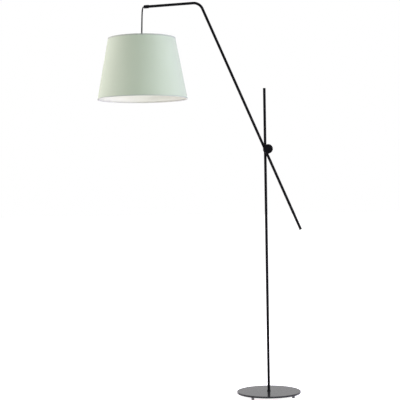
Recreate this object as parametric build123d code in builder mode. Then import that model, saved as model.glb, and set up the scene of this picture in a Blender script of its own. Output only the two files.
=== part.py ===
from build123d import *
import math
import os

# Adjustable arm floor lamp: a weighted disc base, a thin pole, a cross clamp with one knob, a bent
# tube arm, and a drum shade that hangs from the arm's tip on its own flex.
# Millimetres, +Z up. The origin lies on the floor under the centre of the base. The pole stands on
# the Z axis, the arm reaches towards -X, and the clamp knob faces -Y.

# ---- base
BASE_R, BASE_T, BASE_ROUND = 143.0, 8.0, 1.0
BREAK = 0.5  # the small bevel or round on a plain edge
FOOT_H, FOOT_R, FOOT_CIRCLE_R, FOOT_START = 12.0, 7.2, 129.0, -36.8
FOOT_DRAFT, FOOT_ROUND = 5.0, 1.2  # the draft in degrees
PLATE_TOP = FOOT_H + BASE_T
POLE_BOLT_R, POLE_BOLT_UP, POLE_HEAD_AF, POLE_HEAD_H = 3.0, 20.0, 10.0, 5.0
CLEAR = 0.2  # radial gap of a bolt in a plain hole
WASHER_R, WASHER_T = 9.0, 1.5
COLLAR_R, COLLAR_H, COLLAR_ROUND = 8.0, 5.0, 1.2

# ---- pole and arm share one tube
TUBE_R, TUBE_WALL = 6.0, 1.0
BORE_R = TUBE_R - TUBE_WALL
POLE_TOP, POLE_JOINT, JOINER_L = 1377.5, 694.0, 60.0
CAP_H, CAP_ROUND, PLUG_L = 3.0, 2.0, 12.0
SNUG = 0.02  # radial gap of a piece pushed into the tube for good
RUNNING = 0.05  # radial gap of a piece that turns or slides

# ---- cross clamp: one bolt along Y passes beside the pole and beside the arm
BOLT_X, BOLT_Z, BOLT_R = 10.7, 1103.5, 3.0
POLE_OFFSET, ARM_OFFSET = 10.7, 12.0
JAW_R, JAW_HALF, JAW_ROUND, SLOT = 20.5, 9.5, 1.5, 1.6
SLEEVE_R, SLEEVE_HALF, SLEEVE_SLIT = 6.6, 14.0, 1.4
GAP = 0.1  # between flat faces that turn on each other
DISC_R, DISC_T = 15.0, 1.5
HEAD_AF, HEAD_H, HEAD_TURN = 10.0, 4.0, 30.0
KNOB_R, KNOB_H, KNOB_ROUND, KNOB_HUB_R, KNOB_HUB_H = 21.0, 15.0, 2.5, 11.0, 3.0
FLUTES, FLUTE_R, FLUTE_DEPTH = 16, 3.2, 0.9
INSERT_R, INSERT_L = 4.5, 12.0
KNOB_CAP_R, KNOB_CAP_T = 13.0, 1.5

# ---- arm
ARM_LEAN = 23.15  # degrees from upright
RUN_FALL = 3.5  # the top run falls by this many degrees towards its tip
ARM_BELOW, ARM_ABOVE, RUN_L, BEND_R = 387.5, 719.6, 249.0, 42.0
BUSH_R, BUSH_L, BUSH_BORE, BUSH_MOUTH = 7.6, 22.0, 3.4, 2.2
GLAND_FLANGE, GLAND_L, GLAND_BORE = 3.0, 10.0, 3.3

# ---- flex and pendant
FLEX_R = 3.1
FLEX_OUT, TURN_R = 6.2, 5.8  # how far it runs on past the tip, and the bend that follows
KNEE_OUT, KNEE_Z, KNEE_R = 2.0, 1704.0, 100.0  # where the bend dies out, off the pendant's axis
SPLIT_SHARE = 0.9  # of the run from the turn to the knee
SHADE_X, SHADE_TOP, SHADE_H = -544.1, 1606.0, 273.0
TOP_R, BOTTOM_R = 150.0, 201.0
FABRIC_T, LINER_T, LINER_GAP = 0.8, 0.4, 0.05
WIRE_R, HOOP_GAP = 1.5, 0.2
HUB_DROP, HUB_T, HUB_R, HUB_BORE = 28.0, 1.5, 27.0, 20.3
SPOKES, SPOKE_R, SPOKE_START, SPOKE_ROOT = 3, 1.4, 80.0, 1.2
RING_H, RING_IN, RING_ROUND = 7.0, 3.0, 1.5
FLANGE_R, FLANGE_T, SKIRT_R, SKIRT_BORE, SKIRT_L = 22.5, 3.5, 19.9, 16.0, 33.5
HOLDER_WALL, HOLDER_DOME, SEAT = 2.0, 8.0, 3.0  # SEAT is how far the grip stands above the shade
GRIP_R, GRIP_H, GRIP_ROUND, GRIP_SCREW_R = 6.8, 12.0, 2.0, 1.4
FLEX_SEAT, SCREW_PROUD = 2.0, 1.0
BLOCK_DROP, BLOCK_H, BLOCK_BORE = 9.0, 11.0, 1.6
CONTACT_R, CONTACT_T, CONTACT_DROP, PIN_R = 3.5, 0.9, 1.0, 1.5
SHELL_R, SHELL_T, SHELL_L = 14.2, 0.5, 21.0

# ---- bulb
BULB_CAP_R, BULB_CAP_L, BULB_CAP_T, CAP_SLANT = 13.2, 21.0, 0.5, 2.0
BULB_GAP, TIP_R, TIP_T, TIP_BEVEL = 1.2, 4.5, 1.2, 0.5
SHOULDER_R, SHOULDER_DROP, INSULATOR_R, INSULATOR_T = 11.0, 2.4, 5.5, 1.5
GLOBE_R, GLOBE_T, GLOBE_LIP = 30.0, 1.0, 1.8
HOUSING_L, HOUSING_NECK, HOUSING_T, HOUSING_FLARE = 36.0, 10.0, 1.6, 1.5

BOLT_POINT = Vector(BOLT_X, 0, BOLT_Z)
FRONT = Vector(0, -1, 0)
LEAN = math.radians(ARM_LEAN)
FALL = math.radians(RUN_FALL)
ARM_DIR = Vector(-math.sin(LEAN), 0, math.cos(LEAN))
ARM_SIDE = Vector(-math.cos(LEAN), 0, -math.sin(LEAN))  # from the bolt towards the arm tube
RUN_DIR = Vector(-math.cos(FALL), 0, -math.sin(FALL))

# Depths along Y, from the rear jaw forwards.
DISC_Y = -JAW_HALF - GAP
ARM_Y = DISC_Y - DISC_T - GAP - JAW_HALF
KNOB_WASHER_Y = ARM_Y - JAW_HALF - GAP
KNOB_Y = KNOB_WASHER_Y - WASHER_T - GAP

ARM_POINT = BOLT_POINT + Vector(0, ARM_Y, 0) + ARM_SIDE * ARM_OFFSET
ARM_LOW = ARM_POINT - ARM_DIR * ARM_BELOW
ARM_CORNER = ARM_POINT + ARM_DIR * ARM_ABOVE
ARM_TIP = ARM_CORNER + RUN_DIR * RUN_L

PENDANT = Axis((SHADE_X, ARM_Y, 0), (0, 0, 1))
SECTION = Plane(origin=(SHADE_X, ARM_Y, 0), x_dir=(1, 0, 0), z_dir=(0, -1, 0))
HUB_TOP = SHADE_TOP - HUB_DROP
SHADE_BOTTOM = SHADE_TOP - SHADE_H
SLOPE = (BOTTOM_R - TOP_R) / SHADE_H
FLANGE_Z = HUB_TOP + GAP
CAP_Z = FLANGE_Z + FLANGE_T
GRIP_Z = SHADE_TOP + SEAT
BLOCK_Z = FLANGE_Z - BLOCK_DROP


def pendant_plane(z):
    """The level plane at height z, centred on the pendant's axis."""
    return Plane(origin=(SHADE_X, ARM_Y, z))


def bolt_plane(y):
    """The plane across the clamp bolt at depth y, facing the knob side."""
    return Plane(origin=(BOLT_X, y, BOLT_Z), x_dir=(1, 0, 0), z_dir=FRONT)


def make_tube(plane, outer_r, inner_r, length):
    """A plain tube or ring that grows from a plane."""
    with BuildPart() as tube:
        with BuildSketch(plane):
            Circle(outer_r)
            Circle(inner_r, mode=Mode.SUBTRACT)
        extrude(amount=length)
    return tube


def make_turned(*outline):
    """A ring turned about the pendant's axis from an outline of (radius, height) points."""
    with BuildPart() as turned:
        with BuildSketch(SECTION):
            with BuildLine():
                Polyline(*outline, close=True)
            make_face()
        revolve(axis=PENDANT)
    return turned


def make_hoop(radius, z):
    """A wire hoop about the pendant's axis."""
    with BuildPart() as hoop:
        with BuildSketch(SECTION):
            with Locations((radius, z)):
                Circle(WIRE_R)
        revolve(axis=PENDANT)
    return hoop


def make_plug(plane, flange_r, flange_t, plug_l, bore_r):
    """A flanged plug for the end of the tube; the plane is the flange's outer face."""
    with BuildPart() as plug:
        with BuildSketch(plane):
            Circle(flange_r)
        extrude(amount=flange_t)
        with BuildSketch(plane.offset(flange_t)):
            Circle(BORE_R - SNUG)
        extrude(amount=plug_l)
        with BuildSketch(plane):
            Circle(bore_r)
        extrude(amount=flange_t + plug_l, mode=Mode.SUBTRACT)
    return plug


def make_jaw(plane, tube_offset):
    """Half of the cross clamp: a thick disc across the bolt, bored for a tube that passes beside
    the bolt, and slotted from that bore to its far rim so that the bolt closes it on the tube.
    The plane is the disc's middle, and its x points from the bolt to the tube."""
    tube_centre = plane.from_local_coords(Vector(tube_offset, 0, 0))
    tube_plane = Plane(origin=tube_centre, x_dir=plane.x_dir, z_dir=plane.y_dir)
    with BuildPart() as jaw:
        with BuildSketch(plane.offset(-JAW_HALF)):
            Circle(JAW_R)
        extrude(amount=2 * JAW_HALF)
        fillet(jaw.edges().filter_by(GeomType.CIRCLE), JAW_ROUND)
        with BuildSketch(plane):
            Circle(BOLT_R + RUNNING)
        extrude(amount=JAW_HALF, both=True, mode=Mode.SUBTRACT)
        with BuildSketch(tube_plane):
            Circle(SLEEVE_R + RUNNING)
            with Locations((-JAW_R, 0)):
                Rectangle(2 * JAW_R, SLOT)
        extrude(amount=JAW_R, both=True, mode=Mode.SUBTRACT)
    return jaw


def make_sleeve(plane):
    """The nylon liner between a jaw and its tube, slit where the jaw is slotted."""
    with BuildPart() as sleeve:
        with BuildSketch(plane):
            Circle(SLEEVE_R)
            Circle(TUBE_R + RUNNING, mode=Mode.SUBTRACT)
            with Locations((-SLEEVE_R, 0)):
                Rectangle(SLEEVE_R, SLEEVE_SLIT, mode=Mode.SUBTRACT)
        extrude(amount=SLEEVE_HALF, both=True)
    return sleeve


def make_swept(points, radii, outer_r, inner_r=0.0):
    """A tube or rod along straight runs joined by tangent arcs."""
    start = Vector(*points[0])
    with BuildPart() as swept:
        with BuildLine() as route:
            FilletPolyline(*points, radius=radii)
        with BuildSketch(Plane(origin=start, z_dir=Vector(*points[1]) - start)):
            Circle(outer_r)
            if inner_r:
                Circle(inner_r, mode=Mode.SUBTRACT)
        sweep(path=route.wire())
    return swept


def save(name, piece):
    """Labels a finished piece and writes it to its own file."""
    piece.part.label = name
    export_step(piece.part, f"parts/{name}.step")


os.makedirs("parts", exist_ok=True)

# ---------------------------------------------------------------- base
with BuildPart() as base_plate:
    with BuildSketch(Plane.XY.offset(FOOT_H)):
        Circle(BASE_R)
    extrude(amount=BASE_T)
    fillet(base_plate.edges().group_by(Axis.Z)[-1], BASE_ROUND)
    fillet(base_plate.edges().group_by(Axis.Z)[0], BREAK)
    with Locations((0, 0, PLATE_TOP)):
        Hole(POLE_BOLT_R + CLEAR)
save("base_plate", base_plate)

with BuildPart() as base_feet:
    with BuildSketch(Plane.XY.offset(FOOT_H)):
        with PolarLocations(FOOT_CIRCLE_R, 4, start_angle=FOOT_START):
            Circle(FOOT_R)
    extrude(amount=-FOOT_H, taper=FOOT_DRAFT)
    fillet(base_feet.edges().group_by(Axis.Z)[0], FOOT_ROUND)
save("base_feet", base_feet)

pole_washer = make_tube(Plane.XY.offset(FOOT_H - WASHER_T), WASHER_R, POLE_BOLT_R + CLEAR, WASHER_T)
save("pole_washer", pole_washer)

with BuildPart() as pole_bolt:
    with BuildSketch(Plane.XY.offset(FOOT_H - WASHER_T)):
        RegularPolygon(POLE_HEAD_AF / 2, 6, major_radius=False)
    extrude(amount=-POLE_HEAD_H)
    chamfer(pole_bolt.edges().group_by(Axis.Z)[0], BREAK)
    with BuildSketch(Plane.XY.offset(FOOT_H - WASHER_T)):
        Circle(POLE_BOLT_R)
    extrude(amount=WASHER_T + BASE_T + POLE_BOLT_UP)
save("pole_bolt", pole_bolt)

with BuildPart() as foot_collar:
    with BuildSketch(Plane.XY.offset(PLATE_TOP)):
        Circle(COLLAR_R)
        Circle(TUBE_R + SNUG, mode=Mode.SUBTRACT)
    extrude(amount=COLLAR_H)
    rim = foot_collar.edges().group_by(Axis.Z)[-1].sort_by(SortBy.RADIUS)[-1]
    fillet(rim, COLLAR_ROUND)
save("foot_collar", foot_collar)

# ---------------------------------------------------------------- pole
foot_insert = make_tube(
    Plane.XY.offset(PLATE_TOP), BORE_R - SNUG, POLE_BOLT_R + SNUG, POLE_BOLT_UP + PLUG_L
)
save("foot_insert", foot_insert)

pole_lower = make_tube(Plane.XY.offset(PLATE_TOP), TUBE_R, BORE_R, POLE_JOINT - PLATE_TOP)
save("pole_lower", pole_lower)

with BuildPart() as pole_joiner:
    with BuildSketch(Plane.XY.offset(POLE_JOINT - JOINER_L / 2)):
        Circle(BORE_R - SNUG)
    extrude(amount=JOINER_L)
    chamfer(pole_joiner.edges().filter_by(GeomType.CIRCLE), BREAK)
save("pole_joiner", pole_joiner)

pole_upper = make_tube(
    Plane.XY.offset(POLE_JOINT + GAP), TUBE_R, BORE_R, POLE_TOP - CAP_H - POLE_JOINT - GAP
)
save("pole_upper", pole_upper)

with BuildPart() as pole_cap:
    with BuildSketch(Plane.XY.offset(POLE_TOP - CAP_H)):
        Circle(TUBE_R)
    extrude(amount=CAP_H)
    fillet(pole_cap.edges().group_by(Axis.Z)[-1], CAP_ROUND)
    with BuildSketch(Plane.XY.offset(POLE_TOP - CAP_H)):
        Circle(BORE_R - SNUG)
    extrude(amount=-PLUG_L)
save("pole_cap", pole_cap)

# ---------------------------------------------------------------- cross clamp
pole_side = Plane(origin=BOLT_POINT, x_dir=(-1, 0, 0), z_dir=FRONT)
arm_side = Plane(origin=BOLT_POINT + Vector(0, ARM_Y, 0), x_dir=ARM_SIDE, z_dir=FRONT)

with BuildPart() as rear_jaw:
    add(make_jaw(pole_side, POLE_OFFSET).part)
    with BuildSketch(bolt_plane(JAW_HALF)):
        RegularPolygon(HEAD_AF / 2 + RUNNING, 6, major_radius=False, rotation=HEAD_TURN)
    extrude(amount=HEAD_H, mode=Mode.SUBTRACT)
save("rear_jaw", rear_jaw)

front_jaw = make_jaw(arm_side, ARM_OFFSET)
save("front_jaw", front_jaw)

pole_sleeve = make_sleeve(Plane(origin=(0, 0, BOLT_Z), x_dir=(-1, 0, 0), z_dir=(0, 0, 1)))
save("pole_sleeve", pole_sleeve)

arm_sleeve = make_sleeve(Plane(origin=ARM_POINT, x_dir=ARM_SIDE, z_dir=ARM_DIR))
save("arm_sleeve", arm_sleeve)

friction_disc = make_tube(bolt_plane(DISC_Y), DISC_R, BOLT_R + RUNNING, DISC_T)
save("friction_disc", friction_disc)

knob_washer = make_tube(bolt_plane(KNOB_WASHER_Y), WASHER_R, BOLT_R + RUNNING, WASHER_T)
save("knob_washer", knob_washer)

with BuildPart() as clamp_bolt:
    with BuildSketch(bolt_plane(JAW_HALF)):
        RegularPolygon(HEAD_AF / 2, 6, major_radius=False, rotation=HEAD_TURN)
    extrude(amount=HEAD_H - RUNNING)
    chamfer(clamp_bolt.edges().group_by(Axis.Y)[-1], BREAK)
    with BuildSketch(bolt_plane(JAW_HALF)):
        Circle(BOLT_R)
    extrude(amount=JAW_HALF - KNOB_Y + INSERT_L)
save("clamp_bolt", clamp_bolt)

with BuildPart() as knob:
    with BuildSketch(bolt_plane(KNOB_Y)):
        Circle(KNOB_HUB_R)
    extrude(amount=KNOB_HUB_H)
    with BuildSketch(bolt_plane(KNOB_Y - KNOB_HUB_H)):
        Circle(KNOB_R)
    extrude(amount=KNOB_H)
    fillet(knob.edges().group_by(Axis.Y)[0], KNOB_ROUND)
    with BuildSketch(bolt_plane(KNOB_Y - KNOB_HUB_H)):
        with PolarLocations(KNOB_R + FLUTE_R - FLUTE_DEPTH, FLUTES):
            Circle(FLUTE_R)
    extrude(amount=KNOB_H, mode=Mode.SUBTRACT)
    with BuildSketch(bolt_plane(KNOB_Y)):
        Circle(INSERT_R + SNUG)
    extrude(amount=INSERT_L + GAP, mode=Mode.SUBTRACT)
    with BuildSketch(bolt_plane(KNOB_Y - KNOB_HUB_H - KNOB_H)):
        Circle(KNOB_CAP_R + RUNNING)
    extrude(amount=-KNOB_CAP_T, mode=Mode.SUBTRACT)
save("knob", knob)

knob_insert = make_tube(bolt_plane(KNOB_Y), INSERT_R, BOLT_R + RUNNING, INSERT_L)
save("knob_insert", knob_insert)

with BuildPart() as knob_cap:
    with BuildSketch(bolt_plane(KNOB_Y - KNOB_HUB_H - KNOB_H + KNOB_CAP_T)):
        Circle(KNOB_CAP_R)
    extrude(amount=KNOB_CAP_T)
    fillet(knob_cap.edges().group_by(Axis.Y)[0], BREAK)
save("knob_cap", knob_cap)

# ---------------------------------------------------------------- arm
tube_low = ARM_LOW + ARM_DIR * GLAND_FLANGE
tube_end = ARM_TIP - RUN_DIR * BUSH_L
arm_tube = make_swept((tube_low, ARM_CORNER, tube_end), BEND_R, TUBE_R, BORE_R)
save("arm_tube", arm_tube)

end_gland = make_plug(
    Plane(origin=ARM_LOW, z_dir=ARM_DIR), TUBE_R, GLAND_FLANGE, GLAND_L, GLAND_BORE
)
save("end_gland", end_gland)

with BuildPart() as tip_bush:
    add(make_plug(Plane(origin=ARM_TIP, z_dir=-RUN_DIR), BUSH_R, BUSH_L, GLAND_L, BUSH_BORE).part)
    circles = tip_bush.edges().filter_by(GeomType.CIRCLE)
    mouth = [c for c in circles if c.radius < BUSH_BORE + GAP and (c.arc_center - ARM_TIP).length < GAP]
    fillet(mouth, BUSH_MOUTH)
    circles = tip_bush.edges().filter_by(GeomType.CIRCLE)
    fillet([c for c in circles if c.radius > BUSH_R - GAP], BREAK)
save("tip_bush", tip_bush)

flex_low = ARM_LOW + ARM_DIR * (GLAND_FLANGE + GLAND_L)
arm_flex = make_swept((flex_low, ARM_CORNER, ARM_TIP), BEND_R, FLEX_R)
save("arm_flex", arm_flex)

# ---------------------------------------------------------------- pendant flex
# It leaves the tip along the run, turns down over the rim of the bush, and hangs taut. It is one
# flex, in two lengths that meet at flex_split, where the shade's sideways swing is centred.
flex_turn = ARM_TIP + RUN_DIR * FLEX_OUT
flex_knee = Vector(SHADE_X + KNEE_OUT, ARM_Y, KNEE_Z)
flex_split = flex_turn + (flex_knee - flex_turn) * SPLIT_SHARE
flex_end = Vector(SHADE_X, ARM_Y, GRIP_Z + FLEX_SEAT)

flex_bend = make_swept((ARM_TIP, flex_turn, flex_split), TURN_R, FLEX_R)
save("flex_bend", flex_bend)

flex_drop = make_swept((flex_split, flex_knee, flex_end), KNEE_R, FLEX_R)
save("flex_drop", flex_drop)

for flex_name, flex, flex_points, flex_radius in (
    ("arm_flex", arm_flex, (flex_low, ARM_CORNER, ARM_TIP), BEND_R),
    ("flex_bend", flex_bend, (ARM_TIP, flex_turn, flex_split), TURN_R),
    ("flex_drop", flex_drop, (flex_split, flex_knee, flex_end), KNEE_R),
):
    first, second = flex_points[1] - flex_points[0], flex_points[2] - flex_points[1]
    half_turn = math.radians(first.get_angle(second) / 2)
    saved = 2 * flex_radius * (math.tan(half_turn) - half_turn)
    length = first.length + second.length - saved
    ratio = flex.part.volume / (math.pi * FLEX_R**2 * length)
    print(flex_name, "radius", flex_radius, "length", round(length, 1), "volume ratio", round(ratio, 4))

# ---------------------------------------------------------------- lampholder
with BuildPart() as cord_grip:
    with BuildSketch(pendant_plane(GRIP_Z)):
        Circle(GRIP_R)
    extrude(amount=GRIP_H)
    fillet(cord_grip.edges().group_by(Axis.Z)[-1], GRIP_ROUND)
    with BuildSketch(pendant_plane(GRIP_Z)):
        Circle(GLAND_BORE)
    extrude(amount=GRIP_H, mode=Mode.SUBTRACT)
    with BuildSketch(Plane(origin=(SHADE_X, ARM_Y, GRIP_Z + GRIP_H / 2), z_dir=(1, 0, 0))):
        Circle(GRIP_SCREW_R + RUNNING)
    extrude(amount=GRIP_R, mode=Mode.SUBTRACT)
save("cord_grip", cord_grip)

with BuildPart() as grip_screw:
    with BuildSketch(
        Plane(origin=(SHADE_X + FLEX_R + GAP, ARM_Y, GRIP_Z + GRIP_H / 2), z_dir=(1, 0, 0))
    ):
        Circle(GRIP_SCREW_R)
    extrude(amount=GRIP_R - FLEX_R + SCREW_PROUD)
    chamfer(grip_screw.edges().group_by(Axis.X)[-1], BREAK)
save("grip_screw", grip_screw)

with BuildPart() as holder_cap:
    with BuildSketch(pendant_plane(CAP_Z)):
        Circle(FLANGE_R)
    extrude(amount=GRIP_Z - CAP_Z)
    fillet(holder_cap.edges().group_by(Axis.Z)[-1], HOLDER_DOME)
    with BuildSketch(pendant_plane(CAP_Z)):
        Circle(FLANGE_R - HOLDER_WALL)
    extrude(amount=GRIP_Z - CAP_Z - 2 * HOLDER_WALL, mode=Mode.SUBTRACT)
    with BuildSketch(pendant_plane(CAP_Z)):
        Circle(GLAND_BORE)
    extrude(amount=GRIP_Z - CAP_Z, mode=Mode.SUBTRACT)
save("holder_cap", holder_cap)

with BuildPart() as holder_body:
    with BuildSketch(pendant_plane(FLANGE_Z)):
        Circle(FLANGE_R)
    extrude(amount=CAP_Z - FLANGE_Z - RUNNING)
    with BuildSketch(pendant_plane(FLANGE_Z)):
        Circle(SKIRT_R)
    extrude(amount=-SKIRT_L)
    chamfer(holder_body.edges().group_by(Axis.Z)[0], BREAK)
    with BuildSketch(pendant_plane(FLANGE_Z - SKIRT_L)):
        Circle(SKIRT_BORE)
    extrude(amount=SKIRT_L + CAP_Z - FLANGE_Z, mode=Mode.SUBTRACT)
save("holder_body", holder_body)

contact_block = make_tube(pendant_plane(BLOCK_Z), SKIRT_BORE - RUNNING, BLOCK_BORE, BLOCK_H)
save("contact_block", contact_block)

with BuildPart() as centre_contact:
    with BuildSketch(pendant_plane(BLOCK_Z - CONTACT_DROP)):
        Circle(CONTACT_R)
    extrude(amount=CONTACT_T)
    with BuildSketch(pendant_plane(BLOCK_Z - CONTACT_DROP)):
        Circle(PIN_R)
    extrude(amount=CONTACT_DROP + BLOCK_H)
save("centre_contact", centre_contact)

screw_shell = make_tube(pendant_plane(BLOCK_Z - GAP - SHELL_L), SHELL_R, SHELL_R - SHELL_T, SHELL_L)
save("screw_shell", screw_shell)

with BuildPart() as shade_ring:
    with BuildSketch(pendant_plane(HUB_TOP - HUB_T - GAP)):
        Circle(HUB_R - RING_IN)
        Circle(SKIRT_R + GAP, mode=Mode.SUBTRACT)
    extrude(amount=-RING_H)
    fillet(shade_ring.edges().group_by(Axis.Z)[0].sort_by(SortBy.RADIUS)[-1], RING_ROUND)
save("shade_ring", shade_ring)

# ---------------------------------------------------------------- bulb
TIP_TOP = BLOCK_Z - BULB_GAP
TIP_LOW = TIP_TOP - TIP_T
CAP_TOP = TIP_TOP - SHOULDER_DROP
CAP_LOW = CAP_TOP - BULB_CAP_L
HOUSING_TOP = CAP_LOW - RUNNING
HOUSING_LOW = HOUSING_TOP - HOUSING_L
GLOBE_TOP = HOUSING_LOW - RUNNING

bulb_contact = make_turned(
    (0, TIP_TOP), (TIP_R - TIP_BEVEL, TIP_TOP), (TIP_R, TIP_TOP - TIP_BEVEL), (TIP_R, TIP_LOW), (0, TIP_LOW)
)
save("bulb_contact", bulb_contact)

bulb_insulator = make_turned(
    (0, TIP_LOW - RUNNING),
    (INSULATOR_R, TIP_LOW - RUNNING),
    (SHOULDER_R - BULB_CAP_T, CAP_TOP - INSULATOR_T),
    (SHOULDER_R - BULB_CAP_T, CAP_TOP - 2 * INSULATOR_T),
    (0, CAP_TOP - 2 * INSULATOR_T),
)
save("bulb_insulator", bulb_insulator)

bulb_screw_cap = make_turned(
    (SHOULDER_R, CAP_TOP - BULB_CAP_T),
    (BULB_CAP_R, CAP_TOP - BULB_CAP_T - CAP_SLANT),
    (BULB_CAP_R, CAP_LOW),
    (BULB_CAP_R - BULB_CAP_T, CAP_LOW),
    (BULB_CAP_R - BULB_CAP_T, CAP_TOP - 2 * BULB_CAP_T - CAP_SLANT),
    (SHOULDER_R, CAP_TOP - 2.5 * BULB_CAP_T),
)
save("bulb_screw_cap", bulb_screw_cap)

NECK_R = BULB_CAP_R + BULB_CAP_T
bulb_housing = make_turned(
    (NECK_R, HOUSING_TOP),
    (NECK_R + HOUSING_FLARE, HOUSING_TOP - HOUSING_NECK),
    (GLOBE_R - HOUSING_T, HOUSING_LOW),
    (GLOBE_R - 2 * HOUSING_T, HOUSING_LOW),
    (NECK_R + HOUSING_FLARE - HOUSING_T, HOUSING_TOP - HOUSING_NECK),
    (NECK_R - HOUSING_T, HOUSING_TOP),
)
save("bulb_housing", bulb_housing)

GLOBE_Z = GLOBE_TOP - math.sqrt(GLOBE_R**2 - (GLOBE_R - GLOBE_LIP) ** 2)
with BuildPart() as bulb_globe:
    with BuildSketch(SECTION):
        with Locations((0, GLOBE_Z)):
            Circle(GLOBE_R)
            Circle(GLOBE_R - GLOBE_T, mode=Mode.SUBTRACT)
        with Locations((GLOBE_R, GLOBE_Z - GLOBE_R)):
            Rectangle(
                2 * GLOBE_R,
                GLOBE_TOP - GLOBE_Z + GLOBE_R,
                align=(Align.CENTER, Align.MIN),
                mode=Mode.INTERSECT,
            )
    revolve(axis=PENDANT)
save("bulb_globe", bulb_globe)

# ---------------------------------------------------------------- shade
INNER_TOP = TOP_R - FABRIC_T - LINER_GAP - LINER_T
INNER_BOTTOM = INNER_TOP + SLOPE * SHADE_H
HOOP_Z = SHADE_TOP - WIRE_R
BOTTOM_HOOP_Z = SHADE_BOTTOM + WIRE_R
HOOP_R = INNER_TOP - WIRE_R - HOOP_GAP
BOTTOM_HOOP_R = INNER_BOTTOM - SLOPE * 2 * WIRE_R - WIRE_R - HOOP_GAP


def make_skin(outer_top, thickness):
    """A thin cone from the shade's bottom to its top."""
    outer_bottom = outer_top + SLOPE * SHADE_H
    return make_turned(
        (outer_bottom, SHADE_BOTTOM),
        (outer_top, SHADE_TOP),
        (outer_top - thickness, SHADE_TOP),
        (outer_bottom - thickness, SHADE_BOTTOM),
    )


shade_fabric = make_skin(TOP_R, FABRIC_T)
save("shade_fabric", shade_fabric)

shade_liner = make_skin(TOP_R - FABRIC_T - LINER_GAP, LINER_T)
save("shade_liner", shade_liner)

bottom_hoop = make_hoop(BOTTOM_HOOP_R, BOTTOM_HOOP_Z)
save("bottom_hoop", bottom_hoop)

top_hoop = make_hoop(HOOP_R, HOOP_Z)
hub_plate = make_tube(pendant_plane(HUB_TOP - HUB_T), HUB_R, HUB_BORE, HUB_T)
with BuildPart() as top_frame:
    add(top_hoop.part)
    add(hub_plate.part)
    for spoke in range(SPOKES):
        angle = math.radians(SPOKE_START + 360 / SPOKES * spoke)
        outward = Vector(math.cos(angle), math.sin(angle), 0)
        inner = Vector(SHADE_X, ARM_Y, HUB_TOP - HUB_T / 2) + outward * (HUB_R - SPOKE_ROOT)
        outer = Vector(SHADE_X, ARM_Y, HOOP_Z) + outward * HOOP_R
        with BuildSketch(Plane(origin=inner, z_dir=outer - inner)):
            Circle(SPOKE_R)
        extrude(amount=(outer - inner).length)
save("top_frame", top_frame)

for point_name, point in (("tip", ARM_TIP), ("turn", flex_turn), ("knee", flex_knee), ("end", flex_end)):
    print(point_name, round(point.X, 2), round(point.Y, 2), round(point.Z, 2))
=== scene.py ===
import math

import bpy
import numpy as np
from mathutils import Matrix, Vector


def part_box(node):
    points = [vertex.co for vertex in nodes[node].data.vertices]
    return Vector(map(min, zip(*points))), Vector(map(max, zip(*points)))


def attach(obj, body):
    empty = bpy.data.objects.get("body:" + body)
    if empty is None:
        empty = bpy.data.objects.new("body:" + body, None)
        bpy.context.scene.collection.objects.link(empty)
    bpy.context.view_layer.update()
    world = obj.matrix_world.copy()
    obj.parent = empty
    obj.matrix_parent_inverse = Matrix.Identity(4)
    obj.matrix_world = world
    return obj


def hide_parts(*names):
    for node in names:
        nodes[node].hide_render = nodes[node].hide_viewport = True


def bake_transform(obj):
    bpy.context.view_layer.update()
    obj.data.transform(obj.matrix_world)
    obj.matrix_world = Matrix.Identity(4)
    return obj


# The looks of an adjustable arm floor lamp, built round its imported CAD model. Metres, +Z up, the pole on
# the Z axis, the shade towards -X, and the camera on the -Y side.

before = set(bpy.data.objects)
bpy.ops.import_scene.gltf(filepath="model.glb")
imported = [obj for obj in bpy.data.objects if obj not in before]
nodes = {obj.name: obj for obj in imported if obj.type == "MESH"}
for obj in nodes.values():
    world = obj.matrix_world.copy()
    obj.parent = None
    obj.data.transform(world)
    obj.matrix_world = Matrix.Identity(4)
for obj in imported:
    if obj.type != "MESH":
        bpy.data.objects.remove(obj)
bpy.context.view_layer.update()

MM = 0.001


# ---------------------------------------------------------------- positions from the frame
def centre_of(node):
    """The middle of a CAD node's box."""
    low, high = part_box(node)
    return (low + high) / 2


fabric_low, fabric_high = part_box("shade_fabric")
top_low, top_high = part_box("top_frame")
ring_low, ring_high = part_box("bottom_hoop")
AXIS = Vector((centre_of("shade_fabric").x, centre_of("shade_fabric").y, 0))
SHADE_TOP, SHADE_BOTTOM = fabric_high.z, fabric_low.z
WIRE_R = (ring_high.z - ring_low.z) / 2
BOTTOM_R = (fabric_high.x - fabric_low.x) / 2
TOP_RING_R = (top_high.y - top_low.y) / 2 - WIRE_R
WALL_OFF_WIRE = 1.45 * MM  # the gap outside the wire, and the liner with the fabric on it
TOP_R = TOP_RING_R + WIRE_R + WALL_OFF_WIRE
SLOPE = (BOTTOM_R - TOP_R) / (SHADE_TOP - SHADE_BOTTOM)
CONE_HALF = math.atan(SLOPE)


# ---------------------------------------------------------------- camera
LENS, SENSOR = 98.8, 36.0
CAMERA_AT = Vector((-0.2955, -4.918, 0.9115))
PITCH_DOWN, ROLL = 0.359, 0.9  # degrees


def add_camera():
    """The camera at the photograph's place: level with the lamp's middle, looking along +Y."""
    data = bpy.data.cameras.new("camera")
    data.lens, data.sensor_width = LENS, SENSOR
    camera = bpy.data.objects.new("camera", data)
    bpy.context.scene.collection.objects.link(camera)
    tilt = Matrix.Rotation(math.radians(90 - PITCH_DOWN), 4, "X")
    roll = Matrix.Rotation(math.radians(-ROLL), 4, "Z")
    camera.matrix_world = Matrix.Translation(CAMERA_AT) @ tilt @ roll
    bpy.context.scene.camera = camera


add_camera()


# ---------------------------------------------------------------- node helpers
def add_node(tree, kind, **inputs):
    """A shader node with its plain settings and sockets set by name."""
    made = tree.nodes.new(kind)
    for name, value in inputs.items():
        if hasattr(made, name):
            setattr(made, name, value)
        else:
            made.inputs[name.replace("_", " ").title()].default_value = value
    return made


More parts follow.
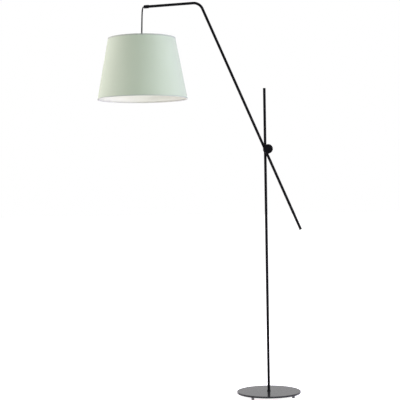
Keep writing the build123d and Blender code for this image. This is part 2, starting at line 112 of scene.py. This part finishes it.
def math_node(tree, operation, a, b=0.0):
    """One sum on two sockets or numbers; returns its output."""
    made = add_node(tree, "ShaderNodeMath", operation=operation)
    for socket, value in zip(made.inputs, (a, b)):
        if isinstance(value, (int, float)):
            socket.default_value = value
        else:
            tree.links.new(value, socket)
    return made.outputs[0]


def map_range(tree, value, low, high, out_low, out_high):
    """Carries a socket from one range to another."""
    made = add_node(tree, "ShaderNodeMapRange")
    tree.links.new(value, made.inputs["Value"])
    for name, number in (("From Min", low), ("From Max", high), ("To Min", out_low), ("To Max", out_high)):
        made.inputs[name].default_value = number
    return made.outputs["Result"]


def mix_colour(tree, factor, first, second):
    """Mixes two colours by a socket; each is a plain colour or a socket."""
    made = add_node(tree, "ShaderNodeMix", data_type="RGBA")
    tree.links.new(factor, made.inputs["Factor"])
    sockets = [socket for socket in made.inputs if socket.type == "RGBA"]
    for socket, colour in zip(sockets, (first, second)):
        if isinstance(colour, tuple):
            socket.default_value = (*colour, 1)
        else:
            tree.links.new(colour, socket)
    return next(socket for socket in made.outputs if socket.type == "RGBA")


def noise(tree, coordinates, size, detail=2.0, roughness=0.5):
    """Noise with features of about this size in metres."""
    made = add_node(tree, "ShaderNodeTexNoise", scale=1 / size, detail=detail, roughness=roughness)
    tree.links.new(coordinates, made.inputs["Vector"])
    return made.outputs[0]


def stretched(tree, coordinates, x, y, z):
    """Coordinates scaled along each axis."""
    made = add_node(tree, "ShaderNodeMapping")
    tree.links.new(coordinates, made.inputs["Vector"])
    made.inputs["Scale"].default_value = (x, y, z)
    return made.outputs["Vector"]


def bump(tree, shader, height, distance, strength=1.0):
    """Raises the surface by a height socket, by up to this distance in metres."""
    made = add_node(tree, "ShaderNodeBump")
    made.inputs["Strength"].default_value = strength
    made.inputs["Distance"].default_value = distance
    tree.links.new(height, made.inputs["Height"])
    tree.links.new(made.outputs["Normal"], shader.inputs["Normal"])


def start_material(name, roughness, **sockets):
    """A material with its node tree and its Principled shader."""
    material = bpy.data.materials.new(name)
    material.use_nodes = True
    tree = material.node_tree
    shader = tree.nodes["Principled BSDF"]
    shader.inputs["Roughness"].default_value = roughness
    for socket, value in sockets.items():
        shader.inputs[socket.replace("_", " ")].default_value = value
    return material, tree, shader


def object_space(tree):
    """The piece's own coordinates, in metres."""
    return add_node(tree, "ShaderNodeTexCoord").outputs["Object"]


def flat_space(tree):
    """The coordinates of the piece opened out flat, in metres."""
    return add_node(tree, "ShaderNodeUVMap").outputs["UV"]


# ---------------------------------------------------------------- materials
def coated_steel(name, dark, light, rough_low, rough_high, grain, shine=0.5):
    """Semi-gloss black coating: a faint orange peel, uneven gloss, and a little unevenness of tone."""
    material, tree, shader = start_material(name, rough_high)
    where = object_space(tree)
    shader.inputs["Specular IOR Level"].default_value = shine
    tone = noise(tree, where, 0.05, 3.0)
    tree.links.new(mix_colour(tree, tone, dark, light), shader.inputs["Base Color"])
    gloss = noise(tree, where, 0.012, 4.0)
    tree.links.new(map_range(tree, gloss, 0.3, 0.7, rough_low, rough_high), shader.inputs["Roughness"])
    bump(tree, shader, noise(tree, where, grain, 2.0), 0.03 * MM, 0.2)
    return material


def moulded_plastic(name, dark, light, roughness, grain=0.6 * MM, shine=0.5):
    """Moulded plastic with a fine spark-eroded grain."""
    material, tree, shader = start_material(name, roughness)
    where = object_space(tree)
    shader.inputs["Specular IOR Level"].default_value = shine
    tone = noise(tree, where, 0.02, 3.0)
    tree.links.new(mix_colour(tree, tone, dark, light), shader.inputs["Base Color"])
    tree.links.new(
        map_range(tree, noise(tree, where, 2 * MM, 3.0), 0.3, 0.7, roughness - 0.06, roughness + 0.06),
        shader.inputs["Roughness"],
    )
    bump(tree, shader, noise(tree, where, grain, 1.0), 0.05 * MM, 0.4)
    return material


def plated_metal(name, dark, light, rough_low, rough_high):
    """Turned or plated metal with fine tool marks."""
    material, tree, shader = start_material(name, rough_high, Metallic=1.0)
    where = object_space(tree)
    marks = noise(tree, stretched(tree, where, 1.0, 1.0, 14.0), 4 * MM, 4.0)
    tree.links.new(mix_colour(tree, marks, dark, light), shader.inputs["Base Color"])
    tree.links.new(map_range(tree, marks, 0.3, 0.7, rough_low, rough_high), shader.inputs["Roughness"])
    bump(tree, shader, marks, 0.03 * MM, 0.3)
    return material


def clear_rubber(name):
    """The bumpers' clear soft plastic, slightly cloudy inside."""
    material, tree, shader = start_material(name, 0.22, IOR=1.47)
    where = object_space(tree)
    shader.inputs["Transmission Weight"].default_value = 0.82
    cloud = noise(tree, where, 5 * MM, 3.0)
    tree.links.new(
        mix_colour(tree, cloud, (0.55, 0.56, 0.56), (0.72, 0.73, 0.72)), shader.inputs["Base Color"]
    )
    bump(tree, shader, noise(tree, where, 1.5 * MM, 2.0), 0.05 * MM, 0.3)
    return material


def woven(tree, across, along, pitch):
    """Height of a plain weave: threads of this pitch, each over one and under the next."""
    warp = math_node(tree, "SINE", math_node(tree, "MULTIPLY", across, math.pi / pitch))
    weft = math_node(tree, "SINE", math_node(tree, "MULTIPLY", along, math.pi / pitch))
    over = math_node(tree, "GREATER_THAN", math_node(tree, "MULTIPLY", warp, weft), 0.0)
    warp_height = math_node(tree, "MULTIPLY", math_node(tree, "ABSOLUTE", warp), over)
    under = math_node(tree, "SUBTRACT", 1.0, over)
    weft_height = math_node(tree, "MULTIPLY", math_node(tree, "ABSOLUTE", weft), under)
    return math_node(tree, "ADD", warp_height, weft_height)


RIM_SHADE_COLOUR = (0.335, 0.380, 0.325)  # painted shade: the rims are darker in the colour, standing in for the rolled hem's shading and for less light through the doubled cloth
RIM_SHADE_SHARE = 0.85
RIM_SHADE_FULL, RIM_SHADE_GONE = 4.5 * MM, 6.0 * MM  # how far in from an edge the painted rim shade fades out
YARN_WANDER = 2.2 * MM
SLUB_STRETCH = 34.0  # how much longer than wide a slub is


def shade_cloth(name, pale, deep, pitch):
    """Sage cotton: a plain weave with uneven yarns, soft fuzz that lightens it at a glancing angle."""
    material, tree, shader = start_material(name, 0.88)
    shader.inputs["Specular IOR Level"].default_value = 0.25
    shader.inputs["Sheen Weight"].default_value = 0.3
    shader.inputs["Sheen Roughness"].default_value = 0.5
    shader.inputs["Sheen Tint"].default_value = (0.96, 0.95, 0.95, 1)
    flat = flat_space(tree)
    split = add_node(tree, "ShaderNodeSeparateXYZ")
    tree.links.new(flat, split.inputs[0])
    wander = math_node(tree, "MULTIPLY", noise(tree, flat, 0.03, 3.0), YARN_WANDER)
    across = math_node(tree, "ADD", split.outputs["X"], wander)
    along = math_node(tree, "ADD", split.outputs["Y"], wander)
    weave = woven(tree, across, along, pitch)
    slubs_level = noise(tree, stretched(tree, flat, 1.0, SLUB_STRETCH, 1.0), 0.028, 3.0, 0.6)
    slubs_upright = noise(tree, stretched(tree, flat, SLUB_STRETCH, 1.0, 1.0), 0.035, 3.0, 0.6)
    slubs = math_node(tree, "MULTIPLY", math_node(tree, "ADD", slubs_level, slubs_upright), 0.5)
    weave_part = math_node(tree, "MULTIPLY", weave, 0.6)
    slubs_part = math_node(tree, "MULTIPLY", slubs, 0.4)
    tone = math_node(tree, "ADD", weave_part, slubs_part)
    length = add_node(tree, "ShaderNodeVectorMath", operation="LENGTH")
    tree.links.new(flat, length.inputs[0])
    from_apex = length.outputs["Value"]
    top_edge, bottom_edge = TOP_R / math.sin(CONE_HALF), BOTTOM_R / math.sin(CONE_HALF)
    top_rim_shade = map_range(tree, from_apex, top_edge + RIM_SHADE_FULL, top_edge + RIM_SHADE_GONE, 1.0, 0.0)
    low_rim_shade = map_range(tree, from_apex, bottom_edge - RIM_SHADE_GONE, bottom_edge - RIM_SHADE_FULL, 0.0, 1.0)
    colour = mix_colour(tree, map_range(tree, tone, 0.25, 0.85, 0.0, 1.0), deep, pale)
    # painted shade: a darker band of the cloth's colour along the top and bottom rims
    rim = math_node(tree, "MULTIPLY", math_node(tree, "MAXIMUM", top_rim_shade, low_rim_shade), RIM_SHADE_SHARE)
    tree.links.new(mix_colour(tree, rim, colour, RIM_SHADE_COLOUR), shader.inputs["Base Color"])
    height = math_node(tree, "ADD", weave_part, slubs)
    bump(tree, shader, height, 0.16 * MM, 0.8)
    return material


def liner_plastic(name):
    """The shade's cream lining sheet, with a faint calendered texture."""
    material, tree, shader = start_material(name, 0.5)
    flat = flat_space(tree)
    tone = noise(tree, flat, 0.04, 4.0)
    tree.links.new(
        mix_colour(tree, tone, (0.83, 0.85, 0.74), (0.89, 0.91, 0.80)), shader.inputs["Base Color"]
    )
    bump(tree, shader, noise(tree, flat, 0.9 * MM, 2.0), 0.04 * MM, 0.4)
    return material


LAY_PITCH = 9 * MM  # from ridge to ridge, round the jacket
LAY_TWIST = 140.0  # radians for each metre along it


def flex_jacket(name):
    """The flex's dark jacket, with the lay of the cores just showing."""
    material, tree, shader = start_material(name, 0.55)
    where = object_space(tree)
    shader.inputs["Specular IOR Level"].default_value = 0.05
    flat = flat_space(tree)
    split = add_node(tree, "ShaderNodeSeparateXYZ")
    tree.links.new(flat, split.inputs[0])
    turn = math_node(tree, "MULTIPLY", split.outputs["X"], 2 * math.pi / LAY_PITCH)
    twist = math_node(tree, "MULTIPLY", split.outputs["Y"], LAY_TWIST)
    lay = math_node(tree, "SINE", math_node(tree, "ADD", turn, twist))
    fine = noise(tree, where, 0.7 * MM, 2.0)
    height = math_node(tree, "ADD", math_node(tree, "MULTIPLY", lay, 0.5), fine)
    tree.links.new(
        mix_colour(tree, noise(tree, where, 8 * MM, 3.0), (0.004, 0.004, 0.005), (0.008, 0.008, 0.009)),
        shader.inputs["Base Color"],
    )
    bump(tree, shader, height, 0.06 * MM, 0.5)
    return material


def opal_plastic(name):
    """The bulb's white diffusing cover."""
    material, tree, shader = start_material(name, 0.35)
    where = object_space(tree)
    shader.inputs["Coat Weight"].default_value = 0.3
    tree.links.new(
        mix_colour(tree, noise(tree, where, 0.01, 3.0), (0.83, 0.83, 0.80), (0.89, 0.89, 0.87)),
        shader.inputs["Base Color"],
    )
    bump(tree, shader, noise(tree, where, 0.8 * MM, 2.0), 0.02 * MM, 0.3)
    return material


pole_coat = coated_steel(
    "pole_coat", (0.004, 0.004, 0.005), (0.007, 0.007, 0.008), 0.42, 0.52, 1.4 * MM, shine=0.08
)
plate_coat = coated_steel("plate_coat", (0.012, 0.012, 0.013), (0.018, 0.018, 0.020), 0.16, 0.22, 1.2 * MM)
black_plastic = moulded_plastic(
    "black_plastic", (0.003, 0.003, 0.004), (0.006, 0.006, 0.007), 0.45, shine=0.06
)
nylon = moulded_plastic("nylon", (0.006, 0.006, 0.007), (0.012, 0.012, 0.013), 0.5, shine=0.1)
white_ceramic = moulded_plastic("white_block", (0.74, 0.73, 0.69), (0.83, 0.82, 0.79), 0.4)
bulb_white = moulded_plastic("bulb_white", (0.80, 0.80, 0.78), (0.88, 0.88, 0.86), 0.36)
dark_glass = moulded_plastic("dark_glass", (0.010, 0.010, 0.013), (0.020, 0.020, 0.024), 0.12)
zinc = plated_metal("zinc", (0.52, 0.53, 0.55), (0.68, 0.69, 0.71), 0.28, 0.42)
brass = plated_metal("brass", (0.62, 0.42, 0.17), (0.78, 0.57, 0.28), 0.24, 0.38)
nickel = plated_metal("nickel", (0.62, 0.60, 0.56), (0.78, 0.76, 0.72), 0.2, 0.34)
white_paint = coated_steel("white_paint", (0.72, 0.72, 0.69), (0.80, 0.80, 0.78), 0.34, 0.46, 1.0 * MM)
bumper_rubber = clear_rubber("bumper_rubber")
sage_cloth = shade_cloth("sage_cloth", (0.485, 0.565, 0.440), (0.375, 0.455, 0.330), 0.55 * MM)
cream_liner = liner_plastic("cream_liner")
dark_flex = flex_jacket("dark_flex")
opal = opal_plastic("opal")

FINISHES = {
    plate_coat: ["base_plate", "foot_collar"],
    pole_coat: ["pole_lower", "pole_upper", "arm_tube", "rear_jaw", "front_jaw"],
    black_plastic: [
        "pole_cap", "end_gland", "tip_bush", "knob", "knob_cap", "cord_grip", "grip_screw",
        "holder_cap", "holder_body", "shade_ring",
    ],
    nylon: ["pole_sleeve", "arm_sleeve", "friction_disc"],
    zinc: ["pole_washer", "pole_bolt", "foot_insert", "pole_joiner", "clamp_bolt", "knob_washer"],
    brass: ["knob_insert", "centre_contact"],
    nickel: ["screw_shell", "bulb_screw_cap", "bulb_contact"],
    white_ceramic: ["contact_block"],
    bulb_white: ["bulb_housing"],
    opal: ["bulb_globe"],
    dark_glass: ["bulb_insulator"],
    white_paint: ["top_frame", "bottom_hoop"],
    bumper_rubber: ["base_feet"],
    dark_flex: ["arm_flex"],
}
for material, names in FINISHES.items():
    for name in names:
        nodes[name].data.materials.clear()
        nodes[name].data.materials.append(material)


# ---------------------------------------------------------------- mesh helpers
def make_mesh(name, points, faces, uvs, material):
    """A smooth mesh object in the row frame, with one UV for each corner of each face."""
    mesh = bpy.data.meshes.new(name)
    mesh.from_pydata([tuple(p) for p in points], [], faces)
    layer = mesh.uv_layers.new(name="flat")
    layer.data.foreach_set("uv", np.array(uvs, np.float32).ravel())
    mesh.shade_smooth()
    mesh.materials.append(material)
    made = bpy.data.objects.new(name, mesh)
    bpy.context.scene.collection.objects.link(made)
    return made


def turn_sheet(name, line, thickness, material, angles, lift=None):
    """Turns a line of (radius, height) points, given a thickness, about the pendant's axis. lift(angle)
    adds to the radius. UVs are the flat cut's own, in metres, with the cone's apex at their origin."""
    sides = [[], []]
    flat_r = [0.0] * len(line)
    for k in range(1, len(line)):
        flat_r[k] = flat_r[k - 1] + math.dist(line[k - 1], line[k])
    slip = line[len(line) // 2][0] / math.sin(CONE_HALF) - flat_r[len(line) // 2]
    for k, (r, z) in enumerate(line):
        (r0, z0), (r1, z1) = line[max(k - 1, 0)], line[min(k + 1, len(line) - 1)]
        scale = thickness / 2 / math.hypot(r1 - r0, z1 - z0)
        out_r, out_z = -(z1 - z0) * scale, (r1 - r0) * scale
        sides[0].append((r + out_r, z + out_z, flat_r[k] + slip))
        sides[1].append((r - out_r, z - out_z, flat_r[k] + slip))
    outline = sides[0] + sides[1][::-1]
    rows, steps = len(outline), len(angles)
    points, faces, uvs = [], [], []
    for angle in angles:
        extra = lift(angle) if lift else 0.0
        for r, z, flat in outline:
            points.append((AXIS.x + (r + extra) * math.cos(angle), AXIS.y + (r + extra) * math.sin(angle), z))

    def flat_point(angle, flat):
        spread = (angle - angles[0] - math.pi) * math.sin(CONE_HALF)
        return flat * math.sin(spread), flat * math.cos(spread)

    for i in range(steps):
        j = (i + 1) % steps
        a0, a1 = angles[i], angles[j] if j else angles[0] + 2 * math.pi
        for k in range(rows):
            n = (k + 1) % rows
            faces.append((i * rows + k, i * rows + n, j * rows + n, j * rows + k))
            corners = ((a0, k), (a0, n), (a1, n), (a1, k))
            uvs += [flat_point(angle, outline[row][2]) for angle, row in corners]
    return make_mesh(name, points, faces, uvs, material)


def tube(name, line, radius, material, sides=24):
    """A round tube along a line of points, with closed ends. UVs run in metres, round it and along it."""
    points, faces, uvs = [], [], []
    line = [Vector(p) for p in line]
    along = [0.0]
    for a, b in zip(line, line[1:]):
        along.append(along[-1] + (b - a).length)
    side = Vector((0, 1, 0))
    for i, centre in enumerate(line):
        forward = (line[min(i + 1, len(line) - 1)] - line[max(i - 1, 0)]).normalized()
        up = forward.cross(side).normalized()
        for s in range(sides):
            turn = 2 * math.pi * s / sides
            points.append(centre + radius * (math.cos(turn) * side + math.sin(turn) * up))
    for i in range(len(line) - 1):
        for s in range(sides):
            t = (s + 1) % sides
            faces.append((i * sides + s, i * sides + t, (i + 1) * sides + t, (i + 1) * sides + s))
            u0, u1 = (2 * math.pi * radius * k / sides for k in (s, s + 1))
            uvs += [(u0, along[i]), (u1, along[i]), (u1, along[i + 1]), (u0, along[i + 1])]
    for row, order in ((0, -1), (len(line) - 1, 1)):
        faces.append(tuple(row * sides + s for s in range(sides))[::order])
        uvs += [(0.0, along[row])] * sides
    made = make_mesh(name, points, faces, uvs, material)
    for cap in made.data.polygons[-2:]:
        cap.use_smooth = False
    return made


# ---------------------------------------------------------------- the hanging flex
# Out of the tip, down over the rim of the bush, and straight to the lampholder. It follows part.py's route,
# with the turn, the knee and the end moved by up to half a millimetre.
FLEX_ROUTE = [
    (-0.53177, -0.0207, 1.74524),
    (-0.53780, -0.0207, 1.74486),
    (-0.54160, -0.0207, 1.70400),
    (-0.54370, -0.0207, 1.61100),
]
FLEX_D = 6.2 * MM
FLEX_SPLIT_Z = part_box("flex_drop")[1].z
FLEX_STEP = 1.5 * MM
TOP_BEND_STEPS, DROP_BEND_STEPS = 10, 18  # the steps of each length at its joint; not used


def smooth_line(points, step):
    """The points of a smooth spline through a route's control points, this far apart."""
    curve = bpy.data.curves.new("route", "CURVE")
    curve.dimensions = "3D"
    curve.resolution_u = 64
    spline = curve.splines.new("NURBS")
    spline.points.add(len(points) - 1)
    for at, point in zip(spline.points, points):
        at.co = (*point, 1)
    spline.order_u = 3
    spline.use_endpoint_u = True
    holder = bpy.data.objects.new("route", curve)
    mesh = bpy.data.meshes.new_from_object(holder)
    line = np.array([v.co for v in mesh.vertices])
    bpy.data.meshes.remove(mesh)
    bpy.data.curves.remove(curve)
    lengths = np.concatenate([[0], np.cumsum(np.linalg.norm(np.diff(line, axis=0), axis=1))])
    at = np.linspace(0, lengths[-1], round(lengths[-1] / step) + 1)
    return np.stack([np.interp(at, lengths, line[:, k]) for k in range(3)], axis=1)


flex_line = smooth_line(FLEX_ROUTE, FLEX_STEP)
split_at = int(np.argmin(np.abs(flex_line[:, 2] - FLEX_SPLIT_Z)))
flex_parts = (
    ("hanging_flex_top", flex_line[: split_at + 1], "flex_bend", ("arm", "flex_joint"), TOP_BEND_STEPS),
    ("hanging_flex", flex_line[split_at:], "flex_drop", ("flex_joint", "pendant"), DROP_BEND_STEPS),
)
for name, line, node, (upper, lower), last in flex_parts:
    piece = tube(name, line, FLEX_D / 2, dark_flex)
    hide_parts(node)
    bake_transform(piece)


# ---------------------------------------------------------------- the shade
CLOTH_T, LINER_T = 0.5 * MM, 0.4 * MM
LINER_SHORT = 0.4 * MM  # how far the liner's edges stay inside the shade's
SEAM_ANGLE, SEAM_WIDTH, SEAM_LIFT = math.radians(100), 12 * MM, 0.5 * MM
HEM_DEPTH, HEM_RAISE = 5.5 * MM, 0.35 * MM  # the cloth is doubled there, so it stands a little proud
FOLD_R = (HEM_RAISE + CLOTH_T) / 2
SEAM_CUT = 0.12 * MM  # how close the sides stand at the seam's edges
SIDES_OUT, SIDES_IN, ROWS_OUT, ROWS_IN = 192, 144, 24, 16
# Where the hem stands proud of the wall: how far past HEM_DEPTH, and the share of HEM_RAISE there.
HEM_STEP = ((2.0 * MM, 0.0), (0.8 * MM, 0.05), (0.2 * MM, 0.4), (-0.4 * MM, 0.9), (-1.4 * MM, 1.0))


def cone_r(z):
    """The shade's outer radius at height z."""
    return BOTTOM_R - SLOPE * (z - SHADE_BOTTOM)


def hem_line(edge, way):
    """The cloth's middle line from its outer face to the fold at an edge, and back up behind it."""
    points = []
    for past, share in HEM_STEP:
        z = edge - way * (HEM_DEPTH + past)
        points.append((cone_r(z) - CLOTH_T / 2 + HEM_RAISE * share, z))
    fold_z = edge - way * (FOLD_R + CLOTH_T / 2)
    fold_r = cone_r(fold_z) - CLOTH_T / 2 + HEM_RAISE - FOLD_R
    for degrees in range(0, 181, 30):
        turn = math.radians(degrees)
        points.append((fold_r + FOLD_R * math.cos(turn), fold_z + way * FOLD_R * math.sin(turn)))
    tuck_z = edge - way * HEM_DEPTH
    return points + [(cone_r(tuck_z) - 1.5 * CLOTH_T, tuck_z)]


def seam_angles(count):
    """Even steps round the shade from its seam, with close ones at the two edges of the overlap."""
    edge, close = SEAM_WIDTH / BOTTOM_R, SEAM_CUT / BOTTOM_R
    even = [2 * math.pi * k / count for k in range(1, count)]
    held = [0.0, close, 2 * close, edge - close, edge + close, 2 * math.pi - close]
    return [SEAM_ANGLE + turn for turn in sorted(held + even)]


def seam_lift(angle):
    """The overlap: a crisp cut edge at the seam, and a fall to the single cloth past it."""
    past, edge = angle - SEAM_ANGLE, SEAM_WIDTH / BOTTOM_R
    if past <= 0:
        return 0.0
    return SEAM_LIFT if past < edge else SEAM_LIFT * max(0.0, 1 - (past - edge) / (3 * edge))


wall_top, wall_low = SHADE_TOP - 2 * HEM_DEPTH, SHADE_BOTTOM + 2 * HEM_DEPTH
wall_rows = [wall_top - (wall_top - wall_low) * k / ROWS_OUT for k in range(ROWS_OUT + 1)]
wall = [(cone_r(z) - CLOTH_T / 2, z) for z in wall_rows]
cloth_line = hem_line(SHADE_TOP, 1)[::-1] + wall + hem_line(SHADE_BOTTOM, -1)
shade = turn_sheet("shade_cloth", cloth_line, CLOTH_T, sage_cloth, seam_angles(SIDES_OUT), seam_lift)
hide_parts("shade_fabric")
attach(shade, "pendant")

liner_top, liner_low = SHADE_TOP - LINER_SHORT, SHADE_BOTTOM + LINER_SHORT
liner_rows = [liner_top - (liner_top - liner_low) * k / ROWS_IN for k in range(ROWS_IN + 1)]
liner_line = [(cone_r(z) - 2 * CLOTH_T - LINER_T / 2, z) for z in liner_rows]
liner = turn_sheet("shade_lining", liner_line, LINER_T, cream_liner, seam_angles(SIDES_IN))
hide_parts("shade_liner")
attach(liner, "pendant")


# ---------------------------------------------------------------- floor, light
FLOOR_REACH, FLOOR_TONE, FLOOR_GLOW = 40.0, 0.85, 0.93
WORLD_FRONT, WORLD_BACK = (0.004, 0.004, 0.004), (0.730, 0.726, 0.734)
AIM = Vector((-0.5, 0, 1.3))
SOFTBOX_SIZE = 2.6
SOFTBOXES = {  # where each stands, and its watts in red, green and blue
    "softbox_left": ((-3.9, 0.3, 2.2), (190, 170, 184)),
    "softbox_right": ((1.5, -2.8, 1.6), (102, 102, 106)),
    "softbox_side": ((2.9, 0.0, 1.4), (72, 65, 100)),
}


def is_seen(tree):
    """1 for what the camera sees directly, 0 for the light that reaches the lamp."""
    return add_node(tree, "ShaderNodeLightPath").outputs["Is Camera Ray"]


def add_floor():
    """A plain white studio floor, which shows as near white as its backdrop."""
    mesh = bpy.data.meshes.new("floor")
    corners = [(-1, -1), (1, -1), (1, 1), (-1, 1)]
    mesh.from_pydata([(x * FLOOR_REACH, y * FLOOR_REACH, 0) for x, y in corners], [], [(0, 1, 2, 3)])
    floor = bpy.data.objects.new("floor", mesh)
    bpy.context.scene.collection.objects.link(floor)
    material, tree, shader = start_material("floor_white", 0.9)
    shader.inputs["Base Color"].default_value = (FLOOR_TONE, FLOOR_TONE, FLOOR_TONE, 1)
    shader.inputs["Emission Color"].default_value = (1, 1, 1, 1)
    tree.links.new(math_node(tree, "MULTIPLY", is_seen(tree), FLOOR_GLOW), shader.inputs["Emission Strength"])
    mesh.materials.append(material)


def add_world():
    """A studio that is bright behind the lamp, nearly dark on the camera's side, and white where seen."""
    world = bpy.data.worlds.new("studio")
    bpy.context.scene.world = world
    world.use_nodes = True
    tree = world.node_tree
    split = add_node(tree, "ShaderNodeSeparateXYZ")
    tree.links.new(add_node(tree, "ShaderNodeTexCoord").outputs["Generated"], split.inputs[0])
    behind = map_range(tree, split.outputs["Y"], -0.3, 0.5, 0.0, 1.0)
    lit = tree.nodes["Background"]
    tree.links.new(mix_colour(tree, behind, WORLD_FRONT, WORLD_BACK), lit.inputs["Color"])
    plain = add_node(tree, "ShaderNodeBackground")
    plain.inputs["Color"].default_value = (1, 1, 1, 1)
    either = add_node(tree, "ShaderNodeMixShader")
    tree.links.new(is_seen(tree), either.inputs[0])
    tree.links.new(lit.outputs[0], either.inputs[1])
    tree.links.new(plain.outputs[0], either.inputs[2])
    tree.links.new(either.outputs[0], tree.nodes["World Output"].inputs["Surface"])


def add_softbox(name, at, watts):
    """A square soft light that faces the lamp. It is hidden from the gloss, which mirrors the backdrop."""
    data = bpy.data.lights.new(name, "AREA")
    data.shape, data.size, data.energy = "SQUARE", SOFTBOX_SIZE, max(watts)
    data.color = [channel / max(watts) for channel in watts]
    lamp = bpy.data.objects.new(name, data)
    bpy.context.scene.collection.objects.link(lamp)
    lamp.location = at
    lamp.visible_glossy = False
    lamp.rotation_euler = (AIM - Vector(at)).to_track_quat("-Z", "Y").to_euler()


add_floor()
add_world()
for name, (at, watts) in SOFTBOXES.items():
    add_softbox(name, at, watts)
bpy.context.scene.view_settings.view_transform = "Standard"
